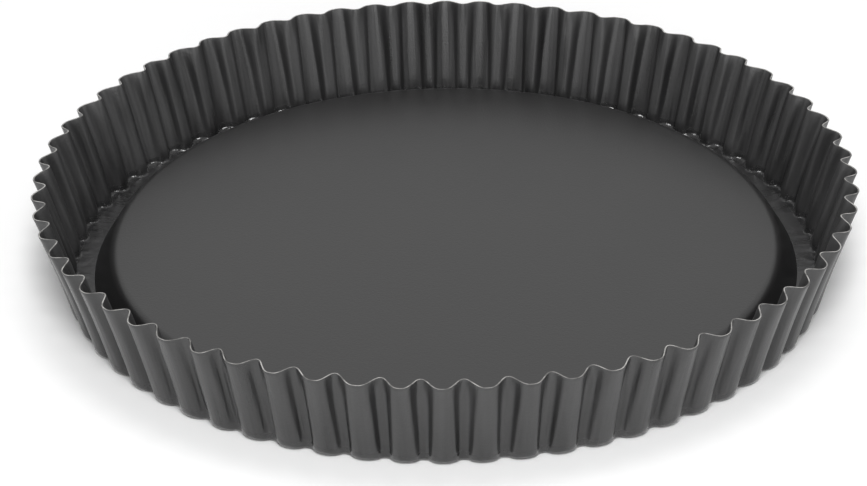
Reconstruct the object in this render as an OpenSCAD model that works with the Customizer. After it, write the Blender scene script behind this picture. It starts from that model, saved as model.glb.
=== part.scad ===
// Fluted tart pan: a fluted ring with a narrow inward ledge, and a raised base that stands on the
// ledge and lifts out. The origin is the middle of the underside, at the height of the surface
// that the pan stands on.

/* [Ring] */
// Outside diameter at the rim, across the crests of the flutes
rim_d = 280; // [270:1:300]
// Outside diameter at the foot, where the line of the flutes meets the underside
foot_d = 259; // [250:1:266]
// Height of the rim at the crests of the flutes
wall_h = 34; // [28:0.5:45]
// Thickness of the pressed sheet
sheet_t = 0.6; // [0.4:0.1:0.8]

/* [Flutes] */
// Number of flutes round the wall
flutes = 64; // [52:1:72]
// Depth of the flutes at the rim
rim_depth = 4.4; // [3.6:0.1:5]
// Depth of the flutes at the foot
foot_depth = 2.7; // [2:0.1:3]
// How much higher the rim is in the grooves than at the crests
rim_wave = 0.9; // [0:0.1:1.5]
// Radius under the toe of each flute
toe_r = 3; // [2.6:0.1:3.4]

/* [Ledge] */
// Width from the base's edge to the foot of the flutes
ledge_w = 9; // [6.5:0.1:11]
// Height of the ledge's turned-up inner edge, which keeps the base in the middle
collar_h = 2.4; // [1.8:0.1:2.4]

/* [Base] */
// Height of the base's flat top above the underside of the pan
base_h = 11; // [9:0.1:13]
// Slope of the base's side, in degrees from level
side_slope = 58; // [56:1:60]
// Radius of the bend between the base's flat top and its side
shoulder_r = 4; // [2.5:0.1:5]

/* [Hidden] */
$fn = 180;
coating = [0.27, 0.27, 0.28];

// The flutes. A phase runs from a crest (0) through the groove (0.5) to the next crest (1).
// The grooves narrow towards the foot.
column_phases = [0, 0.22, 0.37, 0.5, 0.63, 0.78];
foot_narrowing = 1.8;
rim_narrowing = 1.2;
function groove(phase, narrowing) =
    let (wrapped = phase - floor(phase))
    (1 - cos(180 * pow(1 - abs(1 - 2 * wrapped), narrowing))) / 2;
function foot_radius(phase) = foot_d / 2 - foot_depth * groove(phase, foot_narrowing);
function rim_radius(phase) = rim_d / 2 - rim_depth * groove(phase, rim_narrowing);
function rim_height(phase) = wall_h + rim_wave * groove(phase, rim_narrowing);
function toe_radius(phase) = toe_r * (1 - groove(phase, foot_narrowing) / 2);

// Lean of the wall from upright, and one point of its profile as [radius, height]. The inset is
// 0 on the outside and the sheet's thickness on the inside.
function lean(phase) = atan((rim_radius(phase) - foot_radius(phase)) / rim_height(phase));
function toe_point(phase, inset, turn) =
    let (toe = toe_radius(phase), lean = lean(phase))
    [foot_radius(phase) + toe * tan(lean) - toe / cos(lean) + (toe - inset) * sin(turn),
     toe - (toe - inset) * cos(turn)];
function rim_point(phase, inset) = [rim_radius(phase) - inset / cos(lean(phase)), rim_height(phase)];

// The flat part of the ledge is a plain ring. The fluted wall is let into its outer edge.
base_r = foot_d / 2 - ledge_w;
flat_margin = 0.4;
flat_r = toe_point(0.5, 0, 0)[0] - flat_margin;
weld_overlap = 0.6;
weld_r = flat_r - weld_overlap;
weld_inset = 0.1;

function profile(phase, inset, weld_z) = [
    [weld_r, weld_z],
    toe_point(phase, inset, 0),
    toe_point(phase, inset, (90 - lean(phase)) / 2),
    toe_point(phase, inset, 90 - lean(phase)),
    rim_point(phase, inset)
];

// Slope of the fluted outline in plan, as outward travel per distance round the rim or foot
slope_step = 0.01;
function plan_slope(phase) =
    (rim_radius(phase + slope_step) - rim_radius(phase - slope_step))
    / (2 * slope_step * PI * rim_d / flutes);

// One column of the wall: its outside points going up, then its inside points coming down
function place(point, angle, shift) =
    [point[0] * cos(angle) - shift * sin(angle), point[0] * sin(angle) + shift * cos(angle), point[1]];
function column(angle, phase) =
    let (outside = profile(phase, 0, weld_inset),
         inside = profile(phase, sheet_t, sheet_t - weld_inset),
         slope = plan_slope(phase), across = 1 / sqrt(1 + slope * slope), last = len(outside) - 1)
    concat(
        [for (p = outside) place(p, angle, 0)],
        [for (k = [last : -1 : 0])
            let (sheet = outside[k][0] - inside[k][0])
            place([outside[k][0] - sheet * across, inside[k][1]], angle, sheet * slope * across)]);

module fluted_wall() {
    columns = [for (flute = [0 : flutes - 1], phase = column_phases)
        column((flute + phase) * 360 / flutes, phase)];
    count = len(columns);
    rows = len(columns[0]);
    polyhedron(
        points = [for (c = columns, p = c) p],
        faces = [for (i = [0 : count - 1], k = [0 : rows - 1], half = [0, 1])
            let (a = i * rows, b = ((i + 1) % count) * rows, k2 = (k + 1) % rows)
            half == 0 ? [a + k, a + k2, b + k] : [b + k, a + k2, b + k2]]);
}

// Half section of the ledge: flat out to the wall, and bent up at its inner edge
base_gap = 3;
opening_r = base_r - base_gap;
bend_r = 2 * sheet_t;
module ledge_section() {
    translate([opening_r + bend_r, 0]) square([flat_r - opening_r - bend_r, sheet_t]);
    translate([opening_r, bend_r]) square([sheet_t, collar_h - bend_r]);
    translate([opening_r + bend_r, bend_r]) intersection() {
        difference() {
            circle(r = bend_r);
            circle(r = bend_r - sheet_t);
        }
        translate([-bend_r, -bend_r]) square(bend_r);
    }
}

// Half section of the base, from its middle out: flat top, bend, and a straight side down to the
// foot. The bend is a chain of short cones.
bend_z = base_h - shoulder_r;
side_run = (bend_z + shoulder_r * cos(side_slope) - sheet_t) / tan(side_slope);
plateau_r = base_r - side_run - shoulder_r * sin(side_slope);
bend_steps = 8;
function bend_point(radius, turn) = [plateau_r + radius * sin(turn), bend_z + radius * cos(turn)];
module base_section() {
    polygon(concat(
        [[0, base_h]],
        [for (k = [0 : bend_steps]) bend_point(shoulder_r, side_slope * k / bend_steps)],
        [[base_r, sheet_t], [base_r - sheet_t / sin(side_slope), sheet_t]],
        [for (k = [bend_steps : -1 : 0]) bend_point(shoulder_r - sheet_t, side_slope * k / bend_steps)],
        [[0, base_h - sheet_t]]
    ));
}

module fluted_ring() {
    color(coating) union() {
        rotate_extrude() ledge_section();
        fluted_wall();
    }
}

module lift_out_base() {
    color(coating) rotate_extrude() base_section();
}

fluted_ring();
lift_out_base();
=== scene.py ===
"""Tart pan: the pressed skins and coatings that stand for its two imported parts.

Lengths of the pan are in millimetres until add_mesh scales them. Lengths in the materials, the
floor, the lights and the camera are in metres.
"""
import math

import bpy
import numpy as np
from mathutils import Matrix, Vector


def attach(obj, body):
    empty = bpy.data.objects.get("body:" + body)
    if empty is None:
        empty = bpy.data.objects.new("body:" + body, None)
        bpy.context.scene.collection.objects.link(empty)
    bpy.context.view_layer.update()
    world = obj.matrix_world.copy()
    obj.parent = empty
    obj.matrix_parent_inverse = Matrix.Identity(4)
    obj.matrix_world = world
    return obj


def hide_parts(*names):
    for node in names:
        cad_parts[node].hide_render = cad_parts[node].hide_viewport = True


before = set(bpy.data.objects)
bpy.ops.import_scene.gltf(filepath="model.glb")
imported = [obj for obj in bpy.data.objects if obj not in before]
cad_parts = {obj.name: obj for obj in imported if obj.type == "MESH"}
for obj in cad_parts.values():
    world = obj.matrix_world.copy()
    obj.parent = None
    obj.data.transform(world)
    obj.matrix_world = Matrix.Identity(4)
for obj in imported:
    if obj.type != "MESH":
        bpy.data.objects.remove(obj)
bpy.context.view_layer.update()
SEED = 64
rng = np.random.default_rng(SEED)
MM = 0.001

# ---------------------------------------------------------------- sizes, as in the CAD model
FLUTES = 64
FOOT_R, RIM_R, WALL_H, SHEET = 129.5, 140.0, 34.0, 0.6
FOOT_DEPTH, RIM_DEPTH, RIM_WAVE, TOE_R = 2.7, 4.4, 0.9, 3.0
COLLAR_R, COLLAR_H, BEND_R = 117.5, 2.4, 1.2
BASE_R, BASE_H, SHOULDER_R, SIDE_SLOPE = 120.5, 11.0, 4.0, math.radians(58)
SIDE_RUN = (BASE_H - SHOULDER_R * (1 - math.cos(SIDE_SLOPE)) - SHEET) / math.tan(SIDE_SLOPE)
PLATEAU_R = BASE_R - SIDE_RUN - SHOULDER_R * math.sin(SIDE_SLOPE)

# ---------------------------------------------------------------- what one pressing adds to them
# How far grooves and crests stray sideways at the rim, in flutes, and the share of it at the foot
GROOVE_STRAY, CREST_STRAY = 0.045, 0.035
GROOVE_AT_FOOT, CREST_AT_FOOT = 0.4, 0.5
# Grooves with a flat floor: where the floor and the side end at the foot, measured from the
# groove's middle in flutes, how much wider both are at the rim, and how much the widths vary
FLOOR_END, SIDE_END = 0.1, 0.2
FLOOR_WIDENS, SIDE_WIDENS = 0.03, 0.09
WIDTH_SPREAD = 0.12
# The rounded lobe between two grooves: the share of the groove's depth that it falls by at this
# distance from its crest, and how sharply
LOBE_FALL, LOBE_REACH, LOBE_POWER = 0.55, 0.4, 2.2
# Narrowing of the plain rounded grooves, and the share of the flat-floored kind in the foot's
FOOT_NARROWING, RIM_NARROWING, FOOT_FLAT = 1.3, 1.35, 0.4
# The wall takes the rim's grooves near its top and leaves the toe's just above it
RIM_POWER, TOE_BLEND = 5, 0.1
# Depth that the grooves gain low on the wall, hollow of the crests halfway up, and waver
EXTRA_DEPTH, CREST_HOLLOW, WAVER = 0.9, 0.35, 0.05
# Small dents near the rim: where, how deep, and their half widths along and across the wall
DENT_SHARE, DENT_SIDE, DENT_DEPTH, DENT_POWER = (0.70, 0.97), 0.16, 0.45, 1.3
DENT_LENGTH, DENT_WIDTH = 0.13, 0.055
# Buckles in the ledge: height, how much of the ledge they cover, the radii where they start and
# are full, and the radii between which one set of them turns into the other
BUCKLE_H, BUCKLE_COVER = 0.36, 0.15
BUCKLE_START, BUCKLE_FULL = 121.2, 124.5
BUCKLE_TURNS, BUCKLE_TURNED = 122.0, 127.0
FINE_CRUMPLE, BROAD_CRUMPLE, BROAD_KNOTS = 0.6, 0.5, 3

# ---------------------------------------------------------------- materials
# Noises, each a scale per metre and a detail
CLOUDS, SPECKLE, PEEL = (22.0, 3.0), (900.0, 2.0), (1500.0, 2.0)
FINE_MARKS, BROAD_MARKS, CRINKLE = (1300.0, 3.0), (420.0, 2.0), (420.0, 3.0)
NICKS, SCORES = (260.0, 4.0), (2600.0, 2.0)
# Spans of a noise's values that are spread over a whole range of tones or roughness
CLOUD_SPAN, FLECK_SPAN, SHEEN_SPAN, NICK_SPAN = (0.36, 0.64), (0.35, 0.65), (0.3, 0.7), (0.38, 0.62)
FLECK_TONES = (0.94, 1.06)
# What the draw marks do to the roughness, and the relief of each kind of mark beside the grain's
FINE_ROUGHNESS, WEAR_ROUGHNESS = 0.24, 0.35
FINE_RELIEF, WAVE_RELIEF, CRINKLE_RELIEF = 0.5, 5.0, 2.5
DRAW_STRETCH = 0.05
# The toe's polish fades out over these heights and inside these radii, down to this share
TOE_HEIGHTS, LOBE_RADII, GROOVE_SHINE, POLISH = (0.0022, 0.0042), (0.1260, 0.1274), 0.25, 0.58
# Strength and depth of the bumps
COATING_BUMP, STEEL_BUMP = (0.35, 0.00015), (0.3, 0.00008)
STEEL_TONES, STEEL_ROUGHNESS = [(0.20, 0.197, 0.19), (0.68, 0.667, 0.645)], (0.5, 0.3)
STEEL_METALLIC = 0.85


def new_material(name):
    """An empty material, and a function that adds a node to it with inputs linked or set."""
    material = bpy.data.materials.new(name)
    material.use_nodes = True
    tree = material.node_tree
    tree.nodes.clear()

    def make(kind, inputs=None, **settings):
        node = tree.nodes.new(kind)
        for key, value in settings.items():
            setattr(node, key, value)
        for key, value in (inputs or {}).items():
            if isinstance(value, bpy.types.NodeSocket):
                tree.links.new(value, node.inputs[key])
            else:
                node.inputs[key].default_value = value
        return node

    return material, make


def noise(make, place, scale, detail):
    inputs = {"Vector": place, "Scale": scale, "Detail": detail}
    return make("ShaderNodeTexNoise", inputs).outputs["Fac"]


def remap(make, value, source, target, **settings):
    """The value moved from one range to the other, and kept in it."""
    inputs = {"Value": value, "From Min": source[0], "From Max": source[1],
              "To Min": target[0], "To Max": target[1]}
    return make("ShaderNodeMapRange", inputs, **settings).outputs["Result"]


def maths(make, operation, *values):
    return make("ShaderNodeMath", dict(enumerate(values)), operation=operation).outputs[0]


def vector_maths(make, operation, *vectors, result="Vector", **named):
    inputs = {**dict(enumerate(vectors)), **named}
    return make("ShaderNodeVectorMath", inputs, operation=operation).outputs[result]


def two_tones(make, value, span, tones):
    ramp = make("ShaderNodeValToRGB", {"Fac": value})
    for element, position, tone in zip(ramp.color_ramp.elements, span, tones):
        element.position = position
        element.color = (*tone, 1)
    return ramp.outputs["Color"]


def finish_surface(make, relief, bump, looks):
    """The bumps, the shader and the material's output."""
    strength, depth = bump
    bumps = make("ShaderNodeBump", {"Height": relief, "Strength": strength, "Distance": depth})
    shader = make("ShaderNodeBsdfPrincipled", {**looks, "Normal": bumps.outputs["Normal"]})
    make("ShaderNodeOutputMaterial", {"Surface": shader.outputs[0]})


def along_the_draw(make, place):
    """Coordinates that run round the pan and hardly change up a wall or along a radius."""
    parts = make("ShaderNodeSeparateXYZ", {0: place}).outputs
    flat = make("ShaderNodeCombineXYZ", {0: parts[0], 1: parts[1]}).outputs[0]
    ray = vector_maths(make, "NORMALIZE", flat)
    rim = vector_maths(make, "SCALE", ray, Scale=RIM_R * MM)
    height = maths(make, "MULTIPLY", parts[2], DRAW_STRETCH)
    lift = make("ShaderNodeCombineXYZ", {2: height}).outputs[0]
    return vector_maths(make, "ADD", rim, lift)


def pressed_marks(make, place, streaks, shade, rough, grain):
    """Draw marks up the wall and a polished, crinkled toe, as new tone, roughness and relief."""
    draw = along_the_draw(make, place)
    broad = noise(make, draw, *BROAD_MARKS)
    streak = remap(make, broad, FLECK_SPAN, (1 - streaks, 1 + streaks))
    shade = maths(make, "MULTIPLY", shade, streak)
    fine = maths(make, "MULTIPLY", noise(make, draw, *FINE_MARKS), FINE_RELIEF)
    rough = maths(make, "MULTIPLY_ADD", fine, FINE_ROUGHNESS, rough)
    wear = maths(make, "SUBTRACT", broad, 0.5)
    rough = maths(make, "MULTIPLY_ADD", wear, WEAR_ROUGHNESS, rough)

    # The toe has crinkles in place of the wall's broad waves
    height = make("ShaderNodeSeparateXYZ", {0: place}).outputs[2]
    toe = remap(make, height, TOE_HEIGHTS, (1, 0), interpolation_type="SMOOTHSTEP")
    waves = maths(make, "MULTIPLY_ADD", toe, -WAVE_RELIEF, WAVE_RELIEF)
    relief = maths(make, "MULTIPLY_ADD", wear, waves, fine)
    crinkle = maths(make, "MULTIPLY", noise(make, place, *CRINKLE), toe)
    relief = maths(make, "MULTIPLY_ADD", crinkle, CRINKLE_RELIEF, relief)
    relief = maths(make, "ADD", relief, grain)

    # It is polished most at the ends of the lobes, which reach further out than the grooves
    level = vector_maths(make, "MULTIPLY", place, (1, 1, 0))
    radius = vector_maths(make, "LENGTH", level, result="Value")
    lobe_end = remap(make, radius, LOBE_RADII, (GROOVE_SHINE, 1), interpolation_type="SMOOTHSTEP")
    shine = maths(make, "MULTIPLY", toe, lobe_end)
    polish = maths(make, "MULTIPLY_ADD", shine, -POLISH, 1.0)
    rough = maths(make, "MULTIPLY", rough, polish)
    return shade, rough, relief


def coating(name, tones, roughness, streaks, specular):
    """Satin non-stick coating: cloudy tone, flecks and orange-peel grain. Streaks add the marks
    of a pressed wall."""
    material, make = new_material(name)
    place = make("ShaderNodeTexCoord").outputs["Object"]
    clouds = noise(make, place, *CLOUDS)
    tone = two_tones(make, clouds, CLOUD_SPAN, tones)
    shade = remap(make, noise(make, place, *SPECKLE), FLECK_SPAN, FLECK_TONES)
    rough = remap(make, clouds, SHEEN_SPAN, roughness)
    relief = noise(make, place, *PEEL)
    if streaks:
        shade, rough, relief = pressed_marks(make, place, streaks, shade, rough, relief)
    colour = vector_maths(make, "SCALE", tone, Scale=shade)
    looks = {"Base Color": colour, "Roughness": rough, "Specular IOR Level": specular}
    finish_surface(make, relief, COATING_BUMP, looks)
    return material


def cut_steel(name):
    """The trimmed edge of the sheet: bare steel, nicked and scored along the cut."""
    material, make = new_material(name)
    place = make("ShaderNodeTexCoord").outputs["Object"]
    nicks = noise(make, place, *NICKS)
    tone = two_tones(make, nicks, NICK_SPAN, STEEL_TONES)
    rough = remap(make, nicks, (0, 1), STEEL_ROUGHNESS)
    looks = {"Base Color": tone, "Roughness": rough, "Metallic": STEEL_METALLIC}
    finish_surface(make, noise(make, place, *SCORES), STEEL_BUMP, looks)
    return material


ring_coating = coating("ring_coating", [(0.0175, 0.0173, 0.0178), (0.0245, 0.0243, 0.0248)],
                       roughness=(0.25, 0.36), streaks=0.3, specular=0.75)
base_coating = coating("base_coating", [(0.0050, 0.0046, 0.0047), (0.0066, 0.0064, 0.0067)],
                       roughness=(0.30, 0.345), streaks=0, specular=0.82)
rim_steel = cut_steel("rim_steel")


# ---------------------------------------------------------------- helpers for the meshes
def smooth(low, high, x):
    """0 up to low, 1 from high, and a soft step between them."""
    t = np.clip((x - low) / (high - low), 0, 1)
    return t * t * (3 - 2 * t)


def row_round(angles, radius, z):
    """One row of points round the pan. The radius and height are numbers, or one for each angle."""
    radius, z = radius + np.zeros(len(angles)), z + np.zeros(len(angles))
    return np.stack([radius * np.cos(angles), radius * np.sin(angles), z], axis=1)


def strip(row, next_row, columns):
    """The faces between two rows of points."""
    faces = []
    for i in range(columns):
        i2 = (i + 1) % columns
        faces.append((row * columns + i, row * columns + i2,
                      next_row * columns + i2, next_row * columns + i))
    return faces


def add_mesh(name, points, faces, materials, material_of_face):
    mesh = bpy.data.meshes.new(name)
    mesh.from_pydata((points * MM).tolist(), [], faces)
    for material in materials:
        mesh.materials.append(material)
    mesh.polygons.foreach_set("material_index", material_of_face)
    mesh.polygons.foreach_set("use_smooth", [True] * len(mesh.polygons))
    mesh.update()
    piece = bpy.data.objects.new(name, mesh)
    bpy.context.scene.collection.objects.link(piece)
    return piece


# ---------------------------------------------------------------- the ring's flutes
COLUMNS = FLUTES * 24
angle = np.arange(COLUMNS) * 2 * math.pi / COLUMNS
flute_at = angle / (2 * math.pi) * FLUTES
flute_index = np.floor(flute_at).astype(int)
flute_side = flute_at - np.floor(flute_at) - 0.5


def ring_noise(knots):
    """Smooth random values round the ring, between -1 and 1."""
    values = rng.uniform(-1, 1, knots)
    at = angle / (2 * math.pi) * knots
    k = np.floor(at).astype(int)
    t = smooth(0, 1, at - k)
    return values[k % knots] * (1 - t) + values[(k + 1) % knots] * t


def groove_place(shifts, crests):
    """Distance from the middle of the groove, 0 there and 0.5 on the crests, for shifted flutes."""
    place = np.zeros(COLUMNS)
    for step in (-1, 0, 1):
        k = flute_index + step
        left, right = k + crests[k % FLUTES], k + 1 + crests[(k + 1) % FLUTES]
        middle = (left + right) / 2 + shifts[k % FLUTES]
        reach = np.where(flute_at < middle, middle - left, right - middle)
        inside = (flute_at >= left) & (flute_at < right)
        place = np.where(inside, 0.5 * np.abs(flute_at - middle) / reach, place)
    return place


def rounded(u, narrowing):
    """Depth of a plain rounded groove, 0 on the crests and 1 in its middle."""
    return (1 - np.cos(math.pi * (1 - 2 * u) ** narrowing)) / 2


shifts = rng.uniform(-GROOVE_STRAY, GROOVE_STRAY, FLUTES)
crests = rng.uniform(-CREST_STRAY, CREST_STRAY, FLUTES)
foot_u = groove_place(shifts * GROOVE_AT_FOOT, crests * CREST_AT_FOOT)
rim_u = groove_place(shifts, crests)
width = 1 + WIDTH_SPREAD * ring_noise(FLUTES)
lobe = LOBE_FALL * ((0.5 - foot_u) / LOBE_REACH) ** LOBE_POWER


def fluted(share):
    """Depth of a groove with a flat floor, 1 on the floor. The grooves widen upwards."""
    floor_end = (FLOOR_END + FLOOR_WIDENS * share) * width
    side_end = (SIDE_END + SIDE_WIDENS * share) * width
    return 1 - (1 - lobe) * smooth(floor_end, side_end, foot_u)


foot_g = FOOT_FLAT * fluted(0) + (1 - FOOT_FLAT) * rounded(foot_u, FOOT_NARROWING)
rim_g = rounded(rim_u, RIM_NARROWING)

# The profile at each angle: top of the wall, lean from upright, and the toe's radius and middle
top_z = WALL_H + RIM_WAVE * rim_g
foot_r = FOOT_R - FOOT_DEPTH * foot_g
tan_lean = (RIM_R - FOOT_R - (RIM_DEPTH - FOOT_DEPTH) * foot_g) / top_z
lean = np.arctan(tan_lean)
toe_r = TOE_R * (1 - foot_g / 2)
toe_mid = foot_r + toe_r * tan_lean - toe_r / np.cos(lean)


# ---------------------------------------------------------------- its buckles, dents and rows
def crumple(knots_per_flute):
    """Uneven bumps round the ring, of one width and of a broader one."""
    fine = FINE_CRUMPLE * ring_noise(FLUTES * knots_per_flute)
    return fine + BROAD_CRUMPLE * ring_noise(FLUTES * BROAD_KNOTS)


outer_crumple = crumple(6)
inner_crumple = crumple(5)


def buckle(radius):
    """Height of the buckles that the pressing leaves in the ledge, strongest at the toe."""
    blend = smooth(BUCKLE_TURNS, BUCKLE_TURNED, radius)
    crumples = outer_crumple * blend + inner_crumple * (1 - blend)
    height = BUCKLE_H * np.maximum(crumples + BUCKLE_COVER, 0)
    return height * smooth(BUCKLE_START, BUCKLE_FULL, radius)


dent_share = rng.uniform(*DENT_SHARE, FLUTES)
dent_side = rng.uniform(-DENT_SIDE, DENT_SIDE, FLUTES)
dent_depth = rng.uniform(0.0, DENT_DEPTH, FLUTES) ** DENT_POWER
waver = ring_noise(FLUTES * 2)


def dents(share):
    across = (flute_side - dent_side[flute_index]) / DENT_WIDTH
    along = (share - dent_share[flute_index]) / DENT_LENGTH
    return dent_depth[flute_index] * np.exp(-across**2 - along**2)


def ring_row(radius, z):
    return row_round(angle, radius, z)


def wall_row(share):
    """One row of the outside of the wall, from the top of the toe (0) to the rim (1)."""
    toe_top = toe_r * (1 - np.sin(lean)) / top_z
    up = toe_top + (1 - toe_top) * share
    rim_like = share**RIM_POWER
    off_toe = float(smooth(0, TOE_BLEND, share))
    mid_like = off_toe * (1 - rim_like)
    shape = foot_g * (1 - rim_like - mid_like) + fluted(share) * mid_like + rim_g * rim_like
    depth = FOOT_DEPTH + (RIM_DEPTH - FOOT_DEPTH) * up + EXTRA_DEPTH * off_toe * (1 - share)
    radius = FOOT_R + (RIM_R - FOOT_R) * up - depth * shape
    hollow = CREST_HOLLOW * 4 * share * (1 - share) * (1 - shape)
    radius -= dents(share) + WAVER * waver * math.sin(math.pi * share) + hollow
    return ring_row(radius, up * top_z)


# The outside of the sheet, from the ledge's inner bend out to the toe and up to the rim
LEDGE_RADII = [COLLAR_R + BEND_R, 120.4, 121.4, 122.2, 123.0, 123.8, 124.5, 125.2]
TOE_ROWS, WALL_ROWS = 8, 22
outer = [ring_row(radius, buckle(radius)) for radius in LEDGE_RADII]
for i in range(TOE_ROWS):
    turn = (math.pi / 2 - lean) * i / TOE_ROWS
    fade = 1 - smooth(0, 1, i / TOE_ROWS)
    radius = toe_mid + toe_r * np.sin(turn)
    outer.append(ring_row(radius, toe_r * (1 - np.cos(turn)) + fade * buckle(radius)))
outer += [wall_row(i / WALL_ROWS) for i in range(WALL_ROWS + 1)]
outer = np.array(outer)

# The inside: one sheet's thickness square to the wall, and straight up on the ledge
along = np.roll(outer, -1, axis=1) - np.roll(outer, 1, axis=1)
upward = np.gradient(outer, axis=0)
normal = np.cross(along, upward)
normal /= np.linalg.norm(normal, axis=2, keepdims=True)
inner = outer - SHEET * normal
ledge_rows = len(LEDGE_RADII)
inner[:ledge_rows] = outer[:ledge_rows] + [0, 0, SHEET]
inner[-1, :, 2] = outer[-1, :, 2]

# The cut edge at the rim has its corners broken, and bare steel between them
EDGE, CORNER, STEEL_FROM = 0.08, 0.3, 1.4
down = np.array([0, 0, -EDGE])
inward = (inner[-1] - outer[-1]) / SHEET * EDGE
rows = list(outer[:-1])
rows += [outer[-1] + down, outer[-1] + CORNER * (down + inward), outer[-1] + inward]
steel_row = len(rows)
rows += [outer[-1] + STEEL_FROM * inward, inner[-1] - STEEL_FROM * inward, inner[-1] - inward]
rows += [inner[-1] + CORNER * (down - inward), inner[-1] + down]
rows += list(inner[-2::-1])

# The ledge's turned-up inner edge, hidden under the base
BEND_STEPS, COLLAR_EDGE = 5, 0.15


def bend_row(radius, share):
    turn = math.pi / 2 * share
    return ring_row(COLLAR_R + BEND_R - radius * math.sin(turn), BEND_R - radius * math.cos(turn))


rows += [bend_row(BEND_R - SHEET, i / BEND_STEPS) for i in range(1, BEND_STEPS + 1)]
rows += [ring_row(COLLAR_R + SHEET, COLLAR_H - COLLAR_EDGE),
         ring_row(COLLAR_R + SHEET - COLLAR_EDGE, COLLAR_H),
         ring_row(COLLAR_R + COLLAR_EDGE, COLLAR_H),
         ring_row(COLLAR_R, COLLAR_H - COLLAR_EDGE)]
rows += [bend_row(BEND_R, 1 - i / BEND_STEPS) for i in range(BEND_STEPS)]

ring_faces, ring_material = [], []
for k in range(len(rows)):
    ring_faces += strip(k, (k + 1) % len(rows), COLUMNS)
    ring_material += [1 if k == steel_row else 0] * COLUMNS
ring = add_mesh("fluted_ring_skin", np.concatenate(rows), ring_faces,
                [ring_coating, rim_steel], ring_material)
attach(ring, "ring")
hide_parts("fluted_ring")

# ---------------------------------------------------------------- the lift-out base
TURNS = 384
TOP_SHARES = (0.004, 0.25, 0.5, 0.75, 0.9, 0.97, 0.99)
SHOULDER_STEPS = 16
SIDE_SHARES = (0.06, 0.5, 0.94, 1)
FOOT_EDGE = 0.12


def base_profile(inset):
    """Half section of one side of the sheet, from near the middle out to the foot."""
    bend = SHOULDER_R - inset
    points = [(PLATEAU_R * share, BASE_H - inset) for share in TOP_SHARES]
    for i in range(SHOULDER_STEPS + 1):
        turn = SIDE_SLOPE * i / SHOULDER_STEPS
        points.append((PLATEAU_R + bend * math.sin(turn),
                       BASE_H - SHOULDER_R + bend * math.cos(turn)))
    (r1, z1), (r2, z2) = points[-1], (BASE_R - inset / math.sin(SIDE_SLOPE), SHEET)
    for share in SIDE_SHARES:
        points.append((r1 + (r2 - r1) * share, z1 + (z2 - z1) * share))
    return points


# The cut edge that stands on the ledge has its corners broken
outside, inside = base_profile(0), base_profile(SHEET)
(r1, z1), (r2, z2) = outside[-1], inside[-1]
back, up = FOOT_EDGE * math.cos(SIDE_SLOPE), FOOT_EDGE * math.sin(SIDE_SLOPE)
cut_edge = [(r1 - back, z1 + up), (r1 - FOOT_EDGE, z1), (r2 + FOOT_EDGE, z2), (r2 - back, z2 + up)]
section = outside[:-1] + cut_edge + inside[-2::-1]

turns = np.arange(TURNS) * 2 * math.pi / TURNS
base_points = np.concatenate([row_round(turns, r, z) for r, z in section])
base_faces = []
for k in range(len(section) - 1):
    base_faces += strip(k + 1, k, TURNS)
last = (len(section) - 1) * TURNS
base_faces.append(tuple(range(TURNS)))
base_faces.append(tuple(last + i for i in reversed(range(TURNS))))
base = add_mesh("lift_out_base_skin", base_points, base_faces,
                [base_coating], [0] * len(base_faces))
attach(base, "base")
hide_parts("lift_out_base")

# ---------------------------------------------------------------- floor, lights and camera
scene = bpy.context.scene
scene.view_settings.view_transform = "Standard"

FLOOR_HALF, FLOOR_Z = 3.0, -0.0003
PAPER_WHITE, PAPER_ROUGHNESS, SKY_STRENGTH = (0.95, 0.95, 0.95, 1), 0.9, 0.50
corners = [(x * FLOOR_HALF, y * FLOOR_HALF, FLOOR_Z)
           for x, y in ((-1, -1), (1, -1), (1, 1), (-1, 1))]
floor_mesh = bpy.data.meshes.new("floor")
floor_mesh.from_pydata(corners, [], [(0, 1, 2, 3)])
floor = bpy.data.objects.new("floor", floor_mesh)
scene.collection.objects.link(floor)
paper = bpy.data.materials.new("white_sweep")
paper.use_nodes = True
paper_shader = paper.node_tree.nodes["Principled BSDF"]
paper_shader.inputs["Base Color"].default_value = PAPER_WHITE
paper_shader.inputs["Roughness"].default_value = PAPER_ROUGHNESS
paper_shader.inputs["Specular IOR Level"].default_value = 0.0
floor_mesh.materials.append(paper)

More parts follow.
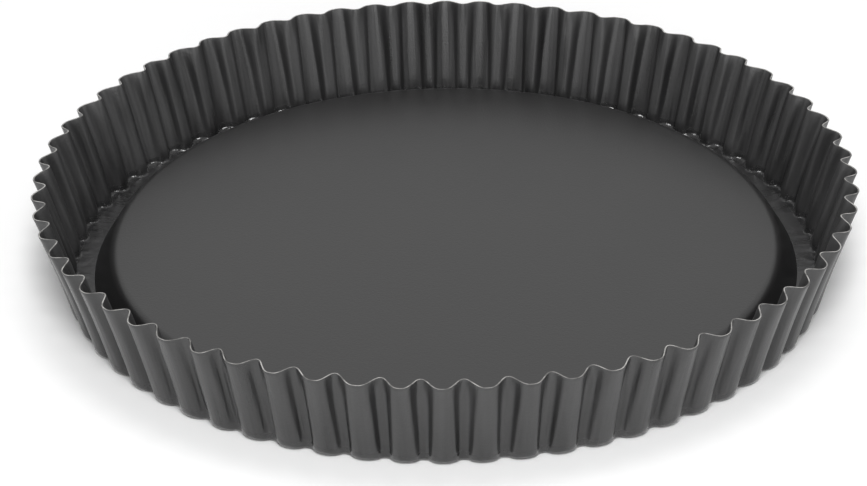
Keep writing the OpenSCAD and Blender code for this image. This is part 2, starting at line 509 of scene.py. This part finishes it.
world = bpy.data.worlds.new("studio")
scene.world = world
world.use_nodes = True
sky = world.node_tree.nodes["Background"]
sky.inputs["Color"].default_value = (1, 1, 1, 1)
sky.inputs["Strength"].default_value = SKY_STRENGTH


def soft_light(name, size, place, aim, watts, on_floor=True):
    """A rectangular area light. One that isn't on the floor is only seen in reflections."""
    light = bpy.data.lights.new(name, "AREA")
    light.shape = "RECTANGLE"
    light.size, light.size_y = size
    light.energy = watts
    lamp = bpy.data.objects.new(name, light)
    lamp.visible_diffuse = on_floor
    scene.collection.objects.link(lamp)
    turned = (Vector(place) - Vector(aim)).to_track_quat("Z", "Y").to_matrix().to_4x4()
    lamp.matrix_world = Matrix.Translation(place) @ turned


soft_light("key", (0.5, 0.5), (0.05, -1.1, 1.3), (0, 0, 0), 16.5)
soft_light("overhead", (0.5, 0.5), (0.1, 0.1, 1.5), (0, 0, 0), 4.2)
soft_light("front", (1.6, 0.5), (0.0, -1.7, 0.6), (0, 0, 0), 6)
soft_light("back", (3.0, 1.2), (0.0, 1.7, 0.9), (0, 0, 0.1), 2.9)
soft_light("left", (0.5, 0.4), (-1.2, -0.3, 0.8), (0, 0, 0), 8, on_floor=False)
soft_light("right", (0.5, 0.4), (1.2, -0.3, 0.8), (0, 0, 0), 8, on_floor=False)

# The camera stands this far from the pan's middle, at this height, turned round the pan to it
SENSOR_MM, LENS_MM, SHIFT_X = 36, 145.8, -0.0139
DISTANCE, HEIGHT = 1.0549, 0.5910
TURN, PITCH, ROLL = math.radians(0.46), math.radians(61.06), math.radians(-0.68)
camera_data = bpy.data.cameras.new("camera")
camera_data.sensor_width = SENSOR_MM
camera_data.lens = LENS_MM
camera_data.shift_x = SHIFT_X
camera = bpy.data.objects.new("camera", camera_data)
scene.collection.objects.link(camera)
stand = Matrix.Translation((DISTANCE * math.sin(TURN), -DISTANCE * math.cos(TURN), HEIGHT))
aim = Matrix.Rotation(TURN, 4, "Z") @ Matrix.Rotation(PITCH, 4, "X") @ Matrix.Rotation(ROLL, 4, "Z")
camera.matrix_world = stand @ aim
scene.camera = camera
